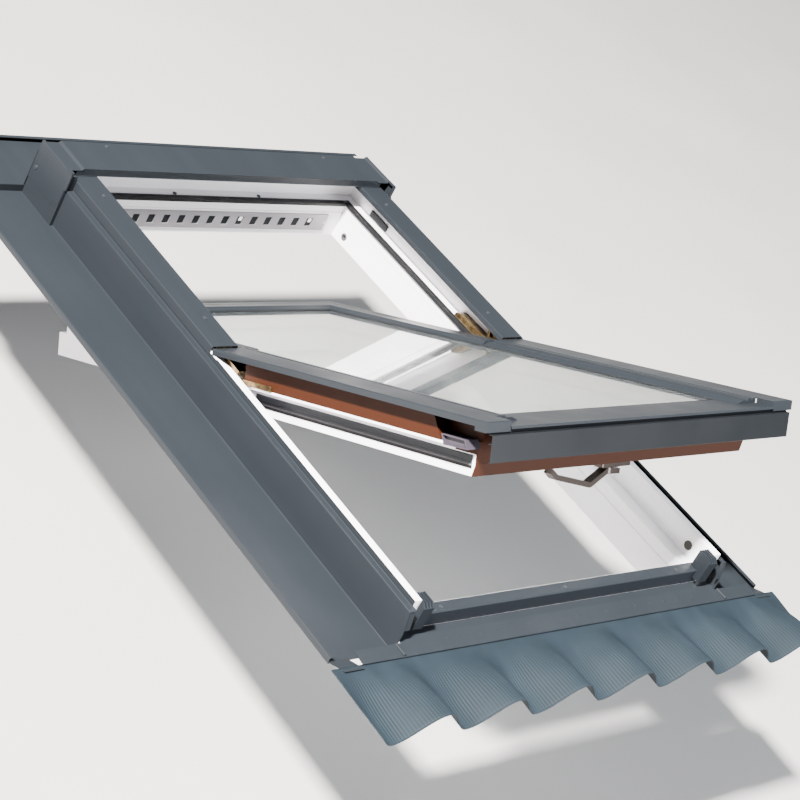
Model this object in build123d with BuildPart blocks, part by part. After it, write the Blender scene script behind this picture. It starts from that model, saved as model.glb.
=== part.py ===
from build123d import *
import math
import os

os.makedirs("parts", exist_ok=True)

# Roof skylight with a centre-pivot sash, modelled flat.
# X runs across the window, Y up the slope, Z outward from the roof.
# Z = 0 is the plane of the roof battens that the brackets stand on,
# X = Y = 0 is the middle of the frame.  Millimetres.

# Frame
frame_width = 780.0
frame_length = 1180.0
rail_width = 46.0
bottom_rail_width = 32.0
wall_thickness = 15.0
frame_underside = -27.0
ledge_height = 80.0
wall_height = 47.0
wall_end_setback = 7.0
sill_rise = 8.0
sill_setback = 10.5
sill_face_height = 28.0
groove_drop = 22.0
groove_size = 1.6
edge_round = 1.5

# Cladding sheet and fixings
sheet = 1.0
cover_rise = 10.0
cover_width = 57.0
cover_outer_lip = 18.0
cover_inner_lip = 11.0
cover_bend = 1.6
screw_head = 7.0
screw_head_rise = 1.6
lap_gap = 0.3

# Turning axis: it lies in the outer surface of the covers
pivot_offset = 22.0
open_angle = 29.0
split_offset = 7.0
split_gap = 1.0

# Arc hinge
arc_radius = 46.0
arc_width = 8.0
arc_depth = 12.0
shoe_angle = 10.0
shoe_lead = 10.0
arc_clearance = 0.3
hinge_disc = 56.0
hinge_plate = 3.0

# Sash
sash_gap = 7.5
sash_lower_gap = 3.0
sash_wide_reach = 27.0
sash_flange_thickness = 4.0
sash_bottom_gap = 8.5
sash_top_gap = 10.0
sash_depth = 100.0
stop_level = 57.0
visible_glass_inset = 110.0
wide_start = 60.0
brown_wall = 11.0
rim_drop = 2.5

# Glazing
glass_drop = 12.0
pane = 4.0
glass_space = 16.0
glass_edge_cover = 15.0
glass_top_inset = 51.0
glass_bottom_inset = 67.0

# Lower cladding of the sash
lower_inset = 82.0
rim_step = 6.0
cap_width = 55.0
cap_length = 36.0
cap_height = 10.5
cap_front_height = 17.0
side_cover_end = 17.0
front_reach = 24.0
front_top_drop = 20.0
front_bottom_drop = 63.0
front_half_width = 380.0

# Flashing
upstand_gap = 12.0
upstand_top = 88.5
roof_flange = 138.0
flange_level = 12.0
apron_drop = 3.0
apron_half_width = 500.0
apron_reach = 42.0
hood_side_gap = 21.0
hood_rise = 16.0
hood_front_setback = 68.0
hood_end_reach = 17.0
hood_back_reach = 21.0
hood_drop = 80.0
hood_lip = 7.0
hood_ridge = 370.0
hood_dip = 4.0

# Skirt draped over the roof tiles
skirt_half_width = 560.0
skirt_length = 143.0
skirt_sheet = 1.6
tile_pitch = 158.7
tile_fall_share = 0.38
tile_crest = 53.0
tile_trough = 9.0
first_crest = -436.0

# Ventilation strip
slot_count = 15
slot_pitch = 37.2
slot_width = 17.0
slot_height = 20.0
vent_height = 40.0
vent_length = 616.0
vent_sheet = 2.0
vent_rise = 32.0
vent_chamber = 28.0

# Handle
handle_setback = 18.5
base_length = 76.0
base_width = 20.0
base_height = 9.0
base_shift = 13.0
lever_low = 47.0
lever_drop = 31.0
lever_reach = 143.0
lever_width = 16.0
lever_thickness = 9.0

# Mounting brackets
bracket_width = 70.0
bracket_leg = 60.0
bracket_rise = 60.0
bracket_sheet = 3.0
bracket_hole = 6.5
bracket_hole_reach = 35.0
bracket_spacing = 800.0

# Places worked out from the sizes above
half_width = frame_width / 2
half_length = frame_length / 2
inner_x = half_width - rail_width
inner_y = half_length - rail_width
inner_low = -half_length + bottom_rail_width
wall_x = half_width - wall_thickness
wall_y = half_length - wall_thickness
ledge = frame_underside + ledge_height
frame_top = ledge + wall_height
cover_top = frame_top + cover_rise
sill_top = ledge + sill_rise
sill_front = -half_length + sill_setback
sill_step = sill_top - sill_face_height
wall_end = -half_length + wall_end_setback
cover_outer = half_width + lap_gap + sheet
cover_inner = cover_outer - cover_width
pivot_y = pivot_offset
pivot_z = cover_top
split_y = pivot_y + split_offset
lower_start = split_y - split_gap
vent_mid = frame_underside + vent_rise
slope_cos = math.cos(math.radians(open_angle))
slope_sin = math.sin(math.radians(open_angle))

# The open sash: this plane turns the closed window's coordinates about the axis
sash_plane = Plane(
    origin=(
        0,
        pivot_y - (pivot_y * slope_cos + pivot_z * slope_sin),
        pivot_z - (-pivot_y * slope_sin + pivot_z * slope_cos),
    ),
    x_dir=(1, 0, 0),
    z_dir=(0, slope_sin, slope_cos),
)


def sash_level(z):
    """Sketch plane of the sash at one height of the closed window; it draws X and Y."""
    return sash_plane.offset(z)


def sash_across(x):
    """Sketch plane across the sash at one x; it draws Y and Z of the closed window."""
    start = sash_plane.from_local_coords((x, 0, 0))
    return Plane(origin=start, x_dir=sash_plane.y_dir, z_dir=(1, 0, 0))


def sash_section(y):
    """Sketch plane square to the sash at one y; it draws X and Z of the closed window."""
    start = sash_plane.from_local_coords((0, y, 0))
    return Plane(origin=start, x_dir=(1, 0, 0), z_dir=-sash_plane.y_dir)


def frame_across(x):
    """Sketch plane across the frame at one x; it draws Y and Z."""
    return Plane.YZ.offset(x)


def frame_section(y):
    """Sketch plane square to the frame at one y; it draws X and Z."""
    return Plane.XZ.offset(-y)


def block(plane, x0, x1, y0, y1, height, mode=Mode.ADD):
    """Block between two corners of a sketch plane, raised by a height."""
    with BuildSketch(plane) as outline:
        with Locations(((x0 + x1) / 2, (y0 + y1) / 2)):
            Rectangle(abs(x1 - x0), abs(y1 - y0))
    extrude(outline.sketch, amount=height, mode=mode)


def ring(plane, outer, inner, height, mode=Mode.ADD):
    """Rectangular ring; outer and inner are (half width, low y, high y)."""
    with BuildSketch(plane) as outline:
        with Locations((0, (outer[1] + outer[2]) / 2)):
            Rectangle(2 * outer[0], outer[2] - outer[1])
        with Locations((0, (inner[1] + inner[2]) / 2)):
            Rectangle(2 * inner[0], inner[2] - inner[1], mode=Mode.SUBTRACT)
    extrude(outline.sketch, amount=height, mode=mode)


def profile(plane, points, length, mode=Mode.ADD):
    """Closed section of straight sides, drawn on a plane and extruded."""
    with BuildSketch(plane) as outline:
        with BuildLine():
            Polyline(*points, close=True)
        make_face()
    extrude(outline.sketch, amount=length, mode=mode)


def folded_sheet(plane, points, length, bend=cover_bend, thickness=sheet):
    """Folded sheet: an open line thickened to its right hand and extruded."""
    with BuildSketch(plane) as outline:
        with BuildLine():
            FilletPolyline(*points, radius=bend)
            offset(amount=thickness, side=Side.RIGHT)
        make_face()
    extrude(outline.sketch, amount=length)


def discs(plane, places, radius, height, mode=Mode.ADD):
    """Round pins at the places on a sketch plane."""
    with BuildSketch(plane) as outline:
        with Locations(*places):
            Circle(radius)
    extrude(outline.sketch, amount=height, mode=mode)


def pan_heads(plane, places, head=screw_head, rise=screw_head_rise):
    """Low pan heads with a cross recess at the places on a sketch plane."""
    discs(plane, places, head / 2, rise)
    with BuildSketch(plane.offset(rise)) as recess:
        with Locations(*places):
            Rectangle(head * 0.6, head * 0.16)
            Rectangle(head * 0.16, head * 0.6)
    extrude(recess.sketch, amount=-rise * 0.5, mode=Mode.SUBTRACT)


def save(name, builder):
    """Label a finished piece and write its file."""
    builder.part.label = name
    export_step(builder.part, "parts/" + name + ".step")


# Outer frame: one welded ring with a ledge and an upright outer wall, low at the sill
socket_y = inner_y - 34
socket_z = frame_underside + 19
socket_radius = 8.0
plug_y = inner_low + 31
plug_z = ledge + 19
plug_radius = 9.0
with BuildPart() as outer_frame:
    ring(
        Plane.XY.offset(frame_underside),
        (half_width, -half_length, half_length),
        (inner_x, inner_low, inner_y),
        ledge_height,
    )
    ring(
        Plane.XY.offset(ledge),
        (half_width, -half_length, half_length),
        (wall_x, -wall_y, wall_y),
        wall_height,
    )
    block(
        Plane.XY.offset(ledge),
        -half_width - 1, half_width + 1, -half_length - 1, wall_end,
        wall_height + 1,
        mode=Mode.SUBTRACT,
    )
    block(
        Plane.XY.offset(ledge),
        -wall_x, wall_x, -half_length - 1, inner_low - 1,
        wall_height + 1,
        mode=Mode.SUBTRACT,
    )
    block(Plane.XY.offset(ledge), -wall_x, wall_x, sill_front, inner_low, sill_rise)
    block(
        Plane.XY.offset(sill_step),
        -half_width - 1, half_width + 1, -half_length - 1, sill_front,
        ledge - sill_step + 0.5,
        mode=Mode.SUBTRACT,
    )
    ring(
        Plane.XY.offset(ledge - groove_drop - groove_size),
        (inner_x + groove_size, inner_low - groove_size, inner_y + groove_size),
        (inner_x - 1, inner_low + 1, inner_y - 1),
        groove_size,
        mode=Mode.SUBTRACT,
    )
    block(
        Plane.XY.offset(vent_mid - slot_height / 2 - 4.3),
        -vent_length / 2 + 12, vent_length / 2 - 12, inner_y - 1, inner_y + vent_chamber,
        slot_height + 8.6,
        mode=Mode.SUBTRACT,
    )
    for side in (-1, 1):
        discs(
            frame_across(side * (inner_x - 1)),
            [(socket_y, socket_z)],
            socket_radius + lap_gap,
            side * 14,
            mode=Mode.SUBTRACT,
        )
    fillet(outer_frame.edges().filter_by(Plane.XY).group_by(Axis.Z)[-1], radius=edge_round)
    sill_nose = outer_frame.edges().filter_by(Axis.X).filter_by_position(
        Axis.Y, sill_front - 0.1, sill_front + 0.1
    )
    fillet(sill_nose.filter_by_position(Axis.Z, sill_top - 0.1, sill_top + 0.1), radius=2.5)
save("outer_frame", outer_frame)

# Gasket on the inner edge of the ledge, round the head and the upper jambs
gasket_foot = 8.0
gasket_bulb = 5.0
gasket_height = 4.5
gasket_start = pivot_y + 70
with BuildPart() as frame_gasket:
    ring(
        Plane.XY.offset(ledge),
        (inner_x + gasket_foot, gasket_start, inner_y + gasket_foot),
        (inner_x - gasket_bulb, gasket_start - 1, inner_y - gasket_bulb),
        2.2,
    )
    ring(
        Plane.XY.offset(ledge - gasket_height),
        (inner_x, gasket_start, inner_y),
        (inner_x - gasket_bulb, gasket_start - 1, inner_y - gasket_bulb),
        gasket_height,
    )
    ring(
        Plane.XY.offset(ledge + 1.2),
        (inner_x + 3.5, gasket_start - 1, inner_y + 3.5),
        (inner_x + 1.0, gasket_start - 2, inner_y + 1.0),
        1.2,
        mode=Mode.SUBTRACT,
    )
save("frame_gasket", frame_gasket)

# Ventilation strip on the head, with a sliding shutter in the chamber behind it
slot_row = [(slot_pitch * (i - (slot_count - 1) / 2), vent_mid) for i in range(slot_count)]
vent_screw_row = [(-vent_length / 2 + 6, vent_mid), (vent_length / 2 - 6, vent_mid)]
vent_face = Plane(origin=(0, inner_y, 0), x_dir=(1, 0, 0), z_dir=(0, -1, 0))
with BuildPart() as vent_strip:
    with BuildSketch(vent_face) as vent_outline:
        with Locations((0, vent_mid)):
            RectangleRounded(vent_length, vent_height, 3)
        with Locations(*slot_row):
            RectangleRounded(slot_width, slot_height, 2, mode=Mode.SUBTRACT)
        with Locations(*vent_screw_row):
            Circle(1.8, mode=Mode.SUBTRACT)
    extrude(amount=vent_sheet)
    chamfer(vent_strip.faces().sort_by(Axis.Y)[0].outer_wire().edges(), length=0.6)
save("vent_strip", vent_strip)

with BuildPart() as vent_strip_screws:
    discs(vent_face, vent_screw_row, 1.5, vent_sheet)
    pan_heads(vent_face.offset(vent_sheet), vent_screw_row, head=6.0, rise=1.2)
save("vent_strip_screws", vent_strip_screws)

shutter_travel = slot_pitch / 2
shutter_length = slot_pitch * slot_count + 7
with BuildPart() as vent_shutter:
    with BuildSketch(vent_face.offset(-lap_gap - 2.0)) as shutter_outline:
        with Locations((-shutter_travel / 2, vent_mid)):
            Rectangle(shutter_length, slot_height + 8.0)
        with Locations(*[(x - shutter_travel, z) for x, z in slot_row]):
            Rectangle(slot_width + 1.2, slot_height - 3, mode=Mode.SUBTRACT)
    extrude(amount=2.0)
    with BuildSketch(vent_face.offset(-lap_gap - 2.0)) as shutter_rib:
        for rise in (-slot_height / 2 - 1, slot_height / 2 + 1):
            with Locations((-shutter_travel / 2, vent_mid + rise)):
                Rectangle(shutter_length, 1.6)
    extrude(amount=-4.0)
save("vent_shutter", vent_shutter)

# Screws in the ledge of the head
head_screw_places = [(-103, half_length - 31), (111, half_length - 31)]
with BuildPart() as head_screws:
    pan_heads(Plane.XY.offset(ledge), head_screw_places, head=8.0, rise=2.0)
save("head_screws", head_screws)

# Upper side covers: folded sheet over the jambs from the split to the hood
cover_end = wall_y - lap_gap
cover_screw_x = (half_width + inner_x) / 2 - 9
cover_screw_y = [pivot_y + 83.5, pivot_y + 439]


def upper_cover(side):
    """Upper side cover of the left (-1) or right (1) jamb."""
    with BuildPart() as cover:
        points = [
            (side * cover_inner, cover_top - cover_inner_lip),
            (side * cover_inner, cover_top),
            (side * cover_outer, cover_top),
            (side * cover_outer, cover_top - cover_outer_lip),
        ]
        if side < 0:
            points.reverse()
        folded_sheet(frame_section(cover_end), points, cover_end - split_y)
        # packing blocks that carry the cover on the outer wall
        for y in cover_screw_y:
            block(
                Plane.XY.offset(frame_top),
                side * wall_x, side * half_width, y - 12, y + 12,
                cover_rise - sheet,
            )
    return cover


left_upper_cover = upper_cover(-1)
save("left_upper_cover", left_upper_cover)
right_upper_cover = upper_cover(1)
save("right_upper_cover", right_upper_cover)

with BuildPart() as upper_cover_screws:
    pan_heads(
        Plane.XY.offset(cover_top),
        [(side * cover_screw_x, y) for side in (-1, 1) for y in cover_screw_y],
    )
save("upper_cover_screws", upper_cover_screws)

# Clips on the inside of the outer wall, below the upper covers
with BuildPart() as cover_clips:
    for side in (-1, 1):
        block(
            frame_section(half_length - 90),
            side * (wall_x - 4), side * wall_x, ledge + 3, ledge + 16,
            58,
        )
save("cover_clips", cover_clips)

# Hood: one folded cap over the head with a ridge near each end and closed end faces
hood_x = half_width + hood_side_gap
hood_top = cover_top + hood_rise
hood_front = half_length - hood_front_setback
hood_back = half_length + hood_back_reach
with BuildPart() as top_hood:
    hood_line = [
        (-hood_x, hood_top - hood_drop),
        (-hood_x, hood_top),
        (-hood_x + 5, hood_top),
        (-hood_x + 9, hood_top - hood_dip),
        (-hood_ridge - 5, hood_top - hood_dip),
        (-hood_ridge, hood_top),
        (hood_ridge, hood_top),
        (hood_ridge + 5, hood_top - hood_dip),
        (hood_x - 9, hood_top - hood_dip),
        (hood_x - 5, hood_top),
        (hood_x, hood_top),
        (hood_x, hood_top - hood_drop),
    ]
    folded_sheet(frame_section(hood_back), hood_line, hood_back - hood_front, bend=1.2)
    # back face and the lip along the front edge
    profile(frame_section(hood_back), hood_line, sheet)
    block(
        frame_section(hood_front + sheet),
        -hood_ridge, hood_ridge, hood_top - hood_lip, hood_top - 0.5,
        sheet,
    )
    # end faces reach further down the slope, with a narrow strip of the top and a rolled edge
    for side in (-1, 1):
        block(
            frame_section(hood_front + 1),
            side * (hood_x - 9), side * (hood_x - 0.4), hood_top - sheet, hood_top,
            hood_end_reach + 1,
        )
        profile(
            frame_across(side * (hood_x - sheet)),
            [
                (hood_front + 1, hood_top - 0.4),
                (hood_front - hood_end_reach, hood_top - 0.4),
                (hood_front - hood_end_reach, hood_top - hood_drop + 9),
                (hood_front + 1, hood_top - hood_drop + 7),
            ],
            side * sheet,
        )
        with BuildSketch(Plane.XY.offset(upstand_top + 1)) as hook:
            with Locations((side * (hood_x - 3.4), hood_front - hood_end_reach + 0.4)):
                Circle(3.4)
                Circle(2.4, mode=Mode.SUBTRACT)
        extrude(hook.sketch, amount=hood_top - upstand_top - 1.5)
save("top_hood", top_hood)

with BuildPart() as hood_screws:
    pan_heads(Plane.XY.offset(hood_top), [(-275, hood_back - 13), (275, hood_back - 13)])
    for side in (-1, 1):
        end_plane = Plane(origin=(side * hood_x, 0, 0), x_dir=(0, side, 0), z_dir=(side, 0, 0))
        pan_heads(end_plane, [(side * (hood_back - 12), hood_top - 52)])
save("hood_screws", hood_screws)

# Posts on the head that carry the hood's top screws
with BuildPart() as hood_posts:
    for x in (-275, 275):
        block(
            Plane.XY.offset(frame_top),
            x - 14, x + 14, wall_y + 2, half_length - 2,
            hood_top - sheet - frame_top,
        )
save("hood_posts", hood_posts)

# Side flashings: hemmed upstand, flange on the battens and a turned-up outer edge
upstand_x = half_width + upstand_gap + sheet
leg_top = frame_top - 0.8
flashing_back = hood_back - sheet - lap_gap
flashing_front = -half_length - 14


with BuildPart() as left_side_flashing:
    folded_sheet(
        frame_section(flashing_back),
        [
            (-upstand_x - roof_flange + 9, flange_level + 10),
            (-upstand_x - roof_flange, flange_level + 10),
            (-upstand_x - roof_flange, flange_level),
            (-upstand_x - sheet, flange_level),
            (-upstand_x - sheet, upstand_top),
            (-half_width - sheet, upstand_top),
            (-half_width - sheet, leg_top),
        ],
        flashing_back - flashing_front,
        bend=1.3,
    )
    # the leg against the jamb is low beside the upper cover and the turning axis
    block(
        Plane.XY.offset(upstand_top + 2.6),
        -half_width - 3, -half_width + 1, split_y - lap_gap, flashing_back + 1,
        12,
        mode=Mode.SUBTRACT,
    )
    block(
        Plane.XY.offset(frame_top - 3),
        -half_width - 3, -half_width + 1, pivot_y - 14, split_y,
        12,
        mode=Mode.SUBTRACT,
    )
    block(
        Plane.XY.offset(upstand_top + 1.4),
        -half_width - 3, -half_width + 1, flashing_front - 1, wall_end - 0.5,
        12,
        mode=Mode.SUBTRACT,
    )
    # slanted lower end, closed by a return between jamb and upstand
    profile(
        frame_across(-half_width - 29),
        [
            (flashing_front - 1, upstand_top + 2),
            (flashing_front + 10, upstand_top + 2),
            (flashing_front, upstand_top - 40),
            (flashing_front - 1, upstand_top - 40),
        ],
        30,
        mode=Mode.SUBTRACT,
    )
    profile(
        frame_across(-upstand_x - 0.5),
        [
            (flashing_front + 10.4, upstand_top - 0.5),
            (flashing_front + 11.4, upstand_top - 0.5),
            (flashing_front + 3.1, upstand_top - 34),
            (flashing_front + 2.1, upstand_top - 34),
        ],
        upstand_gap + 1.3,
    )
save("left_side_flashing", left_side_flashing)

with BuildPart() as right_side_flashing:
    add(mirror(left_side_flashing.part, about=Plane.YZ))
save("right_side_flashing", right_side_flashing)

# Spacers that hold the upstands of the side flashings off the jambs
with BuildPart() as flashing_spacers:
    for side in (-1, 1):
        for y in (-220, 140, 520):
            block(
                Plane.XY.offset(ledge - 3),
                side * half_width, side * upstand_x, y - 15, y + 15,
                12,
            )
save("flashing_spacers", flashing_spacers)

# Top flashing: laps over the roof above the hood, its upstand stands behind the hood
with BuildPart() as top_flashing:
    folded_sheet(
        frame_across(-upstand_x - roof_flange),
        [
            (hood_back, hood_top - 22),
            (hood_back, flange_level + 13),
            (hood_back + 150, flange_level + 13),
            (hood_back + 150, flange_level + 23),
            (hood_back + 141, flange_level + 23),
        ],
        2 * (upstand_x + roof_flange),
        bend=1.3,
    )
    for side in (-1, 1):
        block(
            Plane.XY.offset(flange_level + 14),
            side * (hood_x + 1), side * (upstand_x + roof_flange + 1),
            hood_back - 1, hood_back + 4,
            hood_rise + 90,
            mode=Mode.SUBTRACT,
        )
save("top_flashing", top_flashing)

# Cover of the sill
apron_top = sill_step + sheet
sill_cover_top = sill_top + sheet
sill_cover_front = sill_front - sheet
guide_front = -half_length - 5
guide_back = guide_front + 31
guide_x = inner_x + 8
sill_screw_row = [(x, sill_front + 8.5) for x in (-301, 0, 301)]
with BuildPart() as bottom_cover:
    folded_sheet(
        frame_across(-wall_x + lap_gap),
        [
            (inner_low - 1, sill_cover_top),
            (sill_cover_front, sill_cover_top),
            (sill_cover_front, apron_top + lap_gap),
        ][::-1],
        2 * (wall_x - lap_gap),
        bend=2.5,
    )
save("bottom_cover", bottom_cover)

with BuildPart() as bottom_cover_screws:
    pan_heads(Plane.XY.offset(sill_cover_top), sill_screw_row)
save("bottom_cover_screws", bottom_cover_screws)


def corner_guide(side):
    """Plastic guide in the lower corner of the frame; it centres the closing sash."""
    with BuildPart() as guide:
        block(
            Plane.XY.offset(sill_cover_top),
            side * guide_x, side * wall_x, sill_cover_front, guide_back,
            frame_top - 3 - sill_cover_top,
        )
        block(
            Plane.XY.offset(sill_cover_top - 16),
            side * guide_x, side * wall_x, guide_front, sill_cover_front,
            frame_top - 3 - sill_cover_top + 16,
        )
        guide_end = guide.faces().sort_by(Axis.Y)[0]
        chamfer(guide_end.edges().sort_by(Axis.Z)[-1], length=7)
        with BuildSketch(frame_section(guide_back + 1)) as grooves:
            with Locations(*[(side * (guide_x + 5 + 6.5 * i), frame_top - 3) for i in range(3)]):
                Rectangle(3.2, 14)
        extrude(grooves.sketch, amount=guide_back - guide_front + 2, mode=Mode.SUBTRACT)
    return guide


left_corner_guide = corner_guide(-1)
save("left_corner_guide", left_corner_guide)
right_corner_guide = corner_guide(1)
save("right_corner_guide", right_corner_guide)

# Front flashing: apron strip in front of the sill, with a hemmed edge and seamed ends
apron_front = -half_length - apron_reach
apron_side_back = -half_length - 16
with BuildPart() as front_flashing:
    apron_line = [
        (sill_cover_front - 0.5, apron_top),
        (-half_length - 6, apron_top),
        (apron_front, apron_top - apron_drop),
        (apron_front, apron_top - apron_drop - 4),
    ]
    folded_sheet(frame_across(-apron_half_width), apron_line[::-1], 2 * apron_half_width, bend=1.5)
    for side in (-1, 1):
        block(
            Plane.XY.offset(sill_step - 12),
            side * (upstand_x - 3), side * (apron_half_width + 1), apron_side_back, -half_length + 30,
            30,
            mode=Mode.SUBTRACT,
        )
        with BuildSketch(frame_section(apron_side_back)) as seam:
            with Locations((side * (upstand_x + 7), apron_top - 1.6)):
                Circle(2.6)
        extrude(seam.sketch, amount=apron_side_back - apron_front - 1)
save("front_flashing", front_flashing)

# Pleated skirt: a soft lead sheet dressed over the waves of the tiles
skirt_back = apron_front + 3
skirt_front = skirt_back - skirt_length
skirt_level = apron_top - apron_drop - 4 - lap_gap
crest_offset = first_crest % tile_pitch


def tile_wave(x):
    """Height between 0 and 1 of the tile surface at one x: a slow rise and a quick fall."""
    phase = ((x - crest_offset) / tile_pitch) % 1.0
    if phase < tile_fall_share:
        return (1 + math.cos(math.pi * phase / tile_fall_share)) / 2
    return (1 - math.cos(math.pi * (phase - tile_fall_share) / (1 - tile_fall_share))) / 2


def skirt_outline(y, share):
    """Thin wavy section of the skirt at one y; share runs from flat (0) to full wave (1)."""
    steps = 57
    xs = [-skirt_half_width + 2 * skirt_half_width * i / (steps - 1) for i in range(steps)]
    heights = []
    for x in xs:
        full = tile_trough + (tile_crest - tile_trough) * tile_wave(x)
        heights.append(skirt_level * (1 - share) + full * share)
    with BuildSketch(frame_section(y)) as outline:
        with BuildLine():
            upper = Spline(*[(x, h) for x, h in zip(xs, heights)])
            lower = Spline(*[(x, h - skirt_sheet) for x, h in zip(xs, heights)])
            Line(upper @ 0, lower @ 0)
            Line(upper @ 1, lower @ 1)
        make_face()
    return outline.sketch


skirt_stations = [
    (skirt_back, 0.0),
    (skirt_back - 6, 0.0),
    (skirt_back - 16, 0.03),
    (skirt_back - skirt_length * 0.3, 0.34),
    (skirt_back - skirt_length * 0.65, 0.82),
    (skirt_front, 1.0),
]
with BuildPart() as pleated_skirt:
    skirt_sections = [skirt_outline(y, share) for y, share in skirt_stations]
    loft(skirt_sections)
save("pleated_skirt", pleated_skirt)

# Plugs over the fixing holes and sockets for the cleaning-position bolts, in both jambs
with BuildPart() as fixing_plugs:
    for side in (-1, 1):
        discs(frame_across(side * (wall_x - 1.2)), [(plug_y, plug_z)], plug_radius, side * 1.2)
save("fixing_plugs", fixing_plugs)

with BuildPart() as bolt_sockets:
    for side in (-1, 1):
        discs(frame_across(side * (inner_x - 1)), [(socket_y, socket_z)], socket_radius, side * 13)
        discs(
            frame_across(side * (inner_x - 2)),
            [(socket_y, socket_z)],
            4.5,
            side * 11,
            mode=Mode.SUBTRACT,
        )
save("bolt_sockets", bolt_sockets)


def frame_hinge(side):
    """Hinge housing on the ledge with an arc groove round the turning axis."""
    inner = side * (inner_x + 1)
    depth = side * (rail_width - wall_thickness - 1)
    with BuildPart() as hinge:
        with BuildSketch(frame_across(inner)) as outline:
            with Locations((pivot_y, pivot_z)):
                Circle(hinge_disc)
            with Locations((pivot_y, pivot_z + 47)):
                Rectangle(3 * hinge_disc, 100, mode=Mode.SUBTRACT)
            with Locations((pivot_y, pivot_z)):
                Circle(9, mode=Mode.SUBTRACT)
        extrude(outline.sketch, amount=depth)
        block(
            Plane.XY.offset(ledge),
            inner, inner + depth, pivot_y - 40, pivot_y + 40,
            12,
        )
        with BuildSketch(frame_across(inner)) as groove:
            with Locations((pivot_y, pivot_z)):
                Circle(arc_radius + arc_width / 2 + arc_clearance)
                Circle(arc_radius - arc_width / 2 - arc_clearance, mode=Mode.SUBTRACT)
        extrude(groove.sketch, amount=side * (arc_depth + arc_clearance), mode=Mode.SUBTRACT)
        # base plate that runs on up the ledge beside the gasket
        profile(
            frame_across(side * (inner_x + 11)),
            [
                (pivot_y + 38, ledge),
                (pivot_y + 150, ledge),
                (pivot_y + 150, ledge + 6),
                (pivot_y + 138, ledge + 12),
                (pivot_y + 38, ledge + 15),
            ],
            side * (rail_width - wall_thickness - 11),
        )
    return hinge


left_frame_hinge = frame_hinge(-1)
save("left_frame_hinge", left_frame_hinge)
right_frame_hinge = frame_hinge(1)
save("right_frame_hinge", right_frame_hinge)

# Mounting brackets: angles screwed to the frame and to the roof battens
bracket_y = [-bracket_spacing / 2, bracket_spacing / 2]
bracket_hole_x = half_width + bracket_hole_reach
with BuildPart() as mounting_brackets:
    for side in (-1, 1):
        for y in bracket_y:
            block(
                Plane.XY,
                side * half_width, side * (half_width + bracket_leg),
                y - bracket_width / 2, y + bracket_width / 2,
                bracket_sheet,
            )
            block(
                Plane.XY,
                side * half_width, side * (half_width + bracket_sheet),
                y - bracket_width / 2, y + bracket_width / 2,
                bracket_rise,
            )
    discs(
        Plane.XY,
        [(side * bracket_hole_x, y) for side in (-1, 1) for y in bracket_y],
        bracket_hole / 2,
        bracket_sheet,
        mode=Mode.SUBTRACT,
    )
save("mounting_brackets", mounting_brackets)

with BuildPart() as bracket_screws:
    for side in (-1, 1):
        screw_plane = Plane(
            origin=(side * (half_width + bracket_sheet), 0, 0),
            x_dir=(0, side, 0),
            z_dir=(side, 0, 0),
        )
        places = [(side * (y + dy), 40) for y in bracket_y for dy in (-20, 20)]
        pan_heads(screw_plane, places, head=9.0, rise=2.5)
save("bracket_screws", bracket_screws)

# Sash frame: one welded ring, narrow above the axis and stepped outward below it
sash_x = inner_x - sash_gap
sash_low_x = inner_x - sash_lower_gap
sash_wide_x = inner_x + sash_wide_reach
sash_low = cover_top - sash_depth
stop_z = cover_top - stop_level
seat_z = cover_top - glass_drop - 2 * pane - glass_space
sash_shoulder = cover_top - glass_drop
sash_top_y = inner_y - sash_top_gap
sash_rim_y = inner_y - 32
sash_bottom_y = inner_low + sash_bottom_gap
wide_y = pivot_y - wide_start
brown_top_end = inner_low + 78
brown_low_end = inner_low + 57
recess_back = inner_low + 82
recess_low = cover_top - 65
opening_x = half_width - visible_glass_inset
opening_top = sash_rim_y - glass_top_inset
opening_bottom = -half_length + glass_bottom_inset
glass_x = opening_x + glass_edge_cover
glass_top = opening_top + glass_edge_cover
glass_bottom = opening_bottom - glass_edge_cover
flange_z = stop_z + 2.7
flange_top = flange_z + sash_flange_thickness
end_plate = 3.0
slant = 5.5
rail_front = inner_low - 3
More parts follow.
